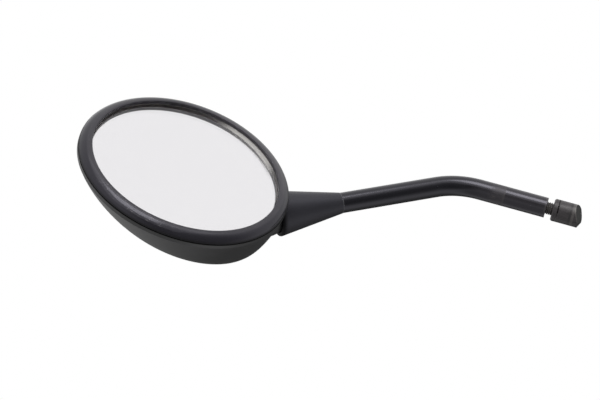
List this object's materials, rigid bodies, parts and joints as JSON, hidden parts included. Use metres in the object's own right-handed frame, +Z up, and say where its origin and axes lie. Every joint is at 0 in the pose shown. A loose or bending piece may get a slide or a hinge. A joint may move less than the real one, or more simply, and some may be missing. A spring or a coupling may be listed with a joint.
{
  "type": "motorcycle mirror",
  "caption": "Round convex rear-view mirror in a black bowl-shaped housing, on a bent tube stem with a ball joint at the head and a slotted plug at the foot.",
  "frame": {"origin": "on the axis of the stem's lower run, halfway along the plain grip of the plug at its foot", "axes": "+Z up along the lower run of the stem, -Y the way the glass looks, +X across"},
  "size_m": [0.1671, 0.0661, 0.2918],
  "materials": {
    "phosphated_steel": "matte",
    "black_paint": "satin",
    "black_nylon": "matte",
    "bright_steel": "satin",
    "white_acetal": "satin",
    "grey_plastic": "satin",
    "black_rubber": "satin",
    "silvered_glass": "polished",
    "grey_foam": "matte"
  },
  "bodies": {
    "plug": {"clamp_plug": "phosphated_steel"},
    "stem": {"mounting_stud": "phosphated_steel", "stem_tube": "black_paint", "neck": "black_nylon", "ball_stud": "bright_steel"},
    "lower_seat": {"lower_seat": "white_acetal"},
    "upper_seat": {"upper_seat": "white_acetal"},
    "head": {"housing": "grey_plastic", "rim_seal": "black_rubber", "mirror_glass": "silvered_glass", "backing_pad": "grey_foam", "pressure_ring": "white_acetal", "disc_springs": "bright_steel", "retainer_plate": "bright_steel", "retainer_screws": "bright_steel"}
  },
  "joints": [
    {"name": "stem_swivel", "type": "hinge", "parent": "plug", "child": "stem", "pos_m": [0, 0, 0], "axis": [0, 0, 1], "range_deg": [-90, 90]},
    {"name": "head_turn", "type": "hinge", "parent": "stem", "child": "lower_seat", "pos_m": [-0.073, 0.01026, 0.17325], "axis": [0.5797, -0.0815, -0.8108], "range_deg": [-25, 25]},
    {"name": "head_tilt", "type": "hinge", "parent": "lower_seat", "child": "upper_seat", "pos_m": [-0.073, 0.01026, 0.17325], "axis": [-0.8012, 0.1244, -0.5853], "range_deg": [-10, 10]},
    {"name": "head_swing", "type": "hinge", "parent": "upper_seat", "child": "head", "pos_m": [-0.073, 0.01026, 0.17325], "axis": [0.1486, 0.9889, 0.0069], "range_deg": [-10, 10]}
  ]
}
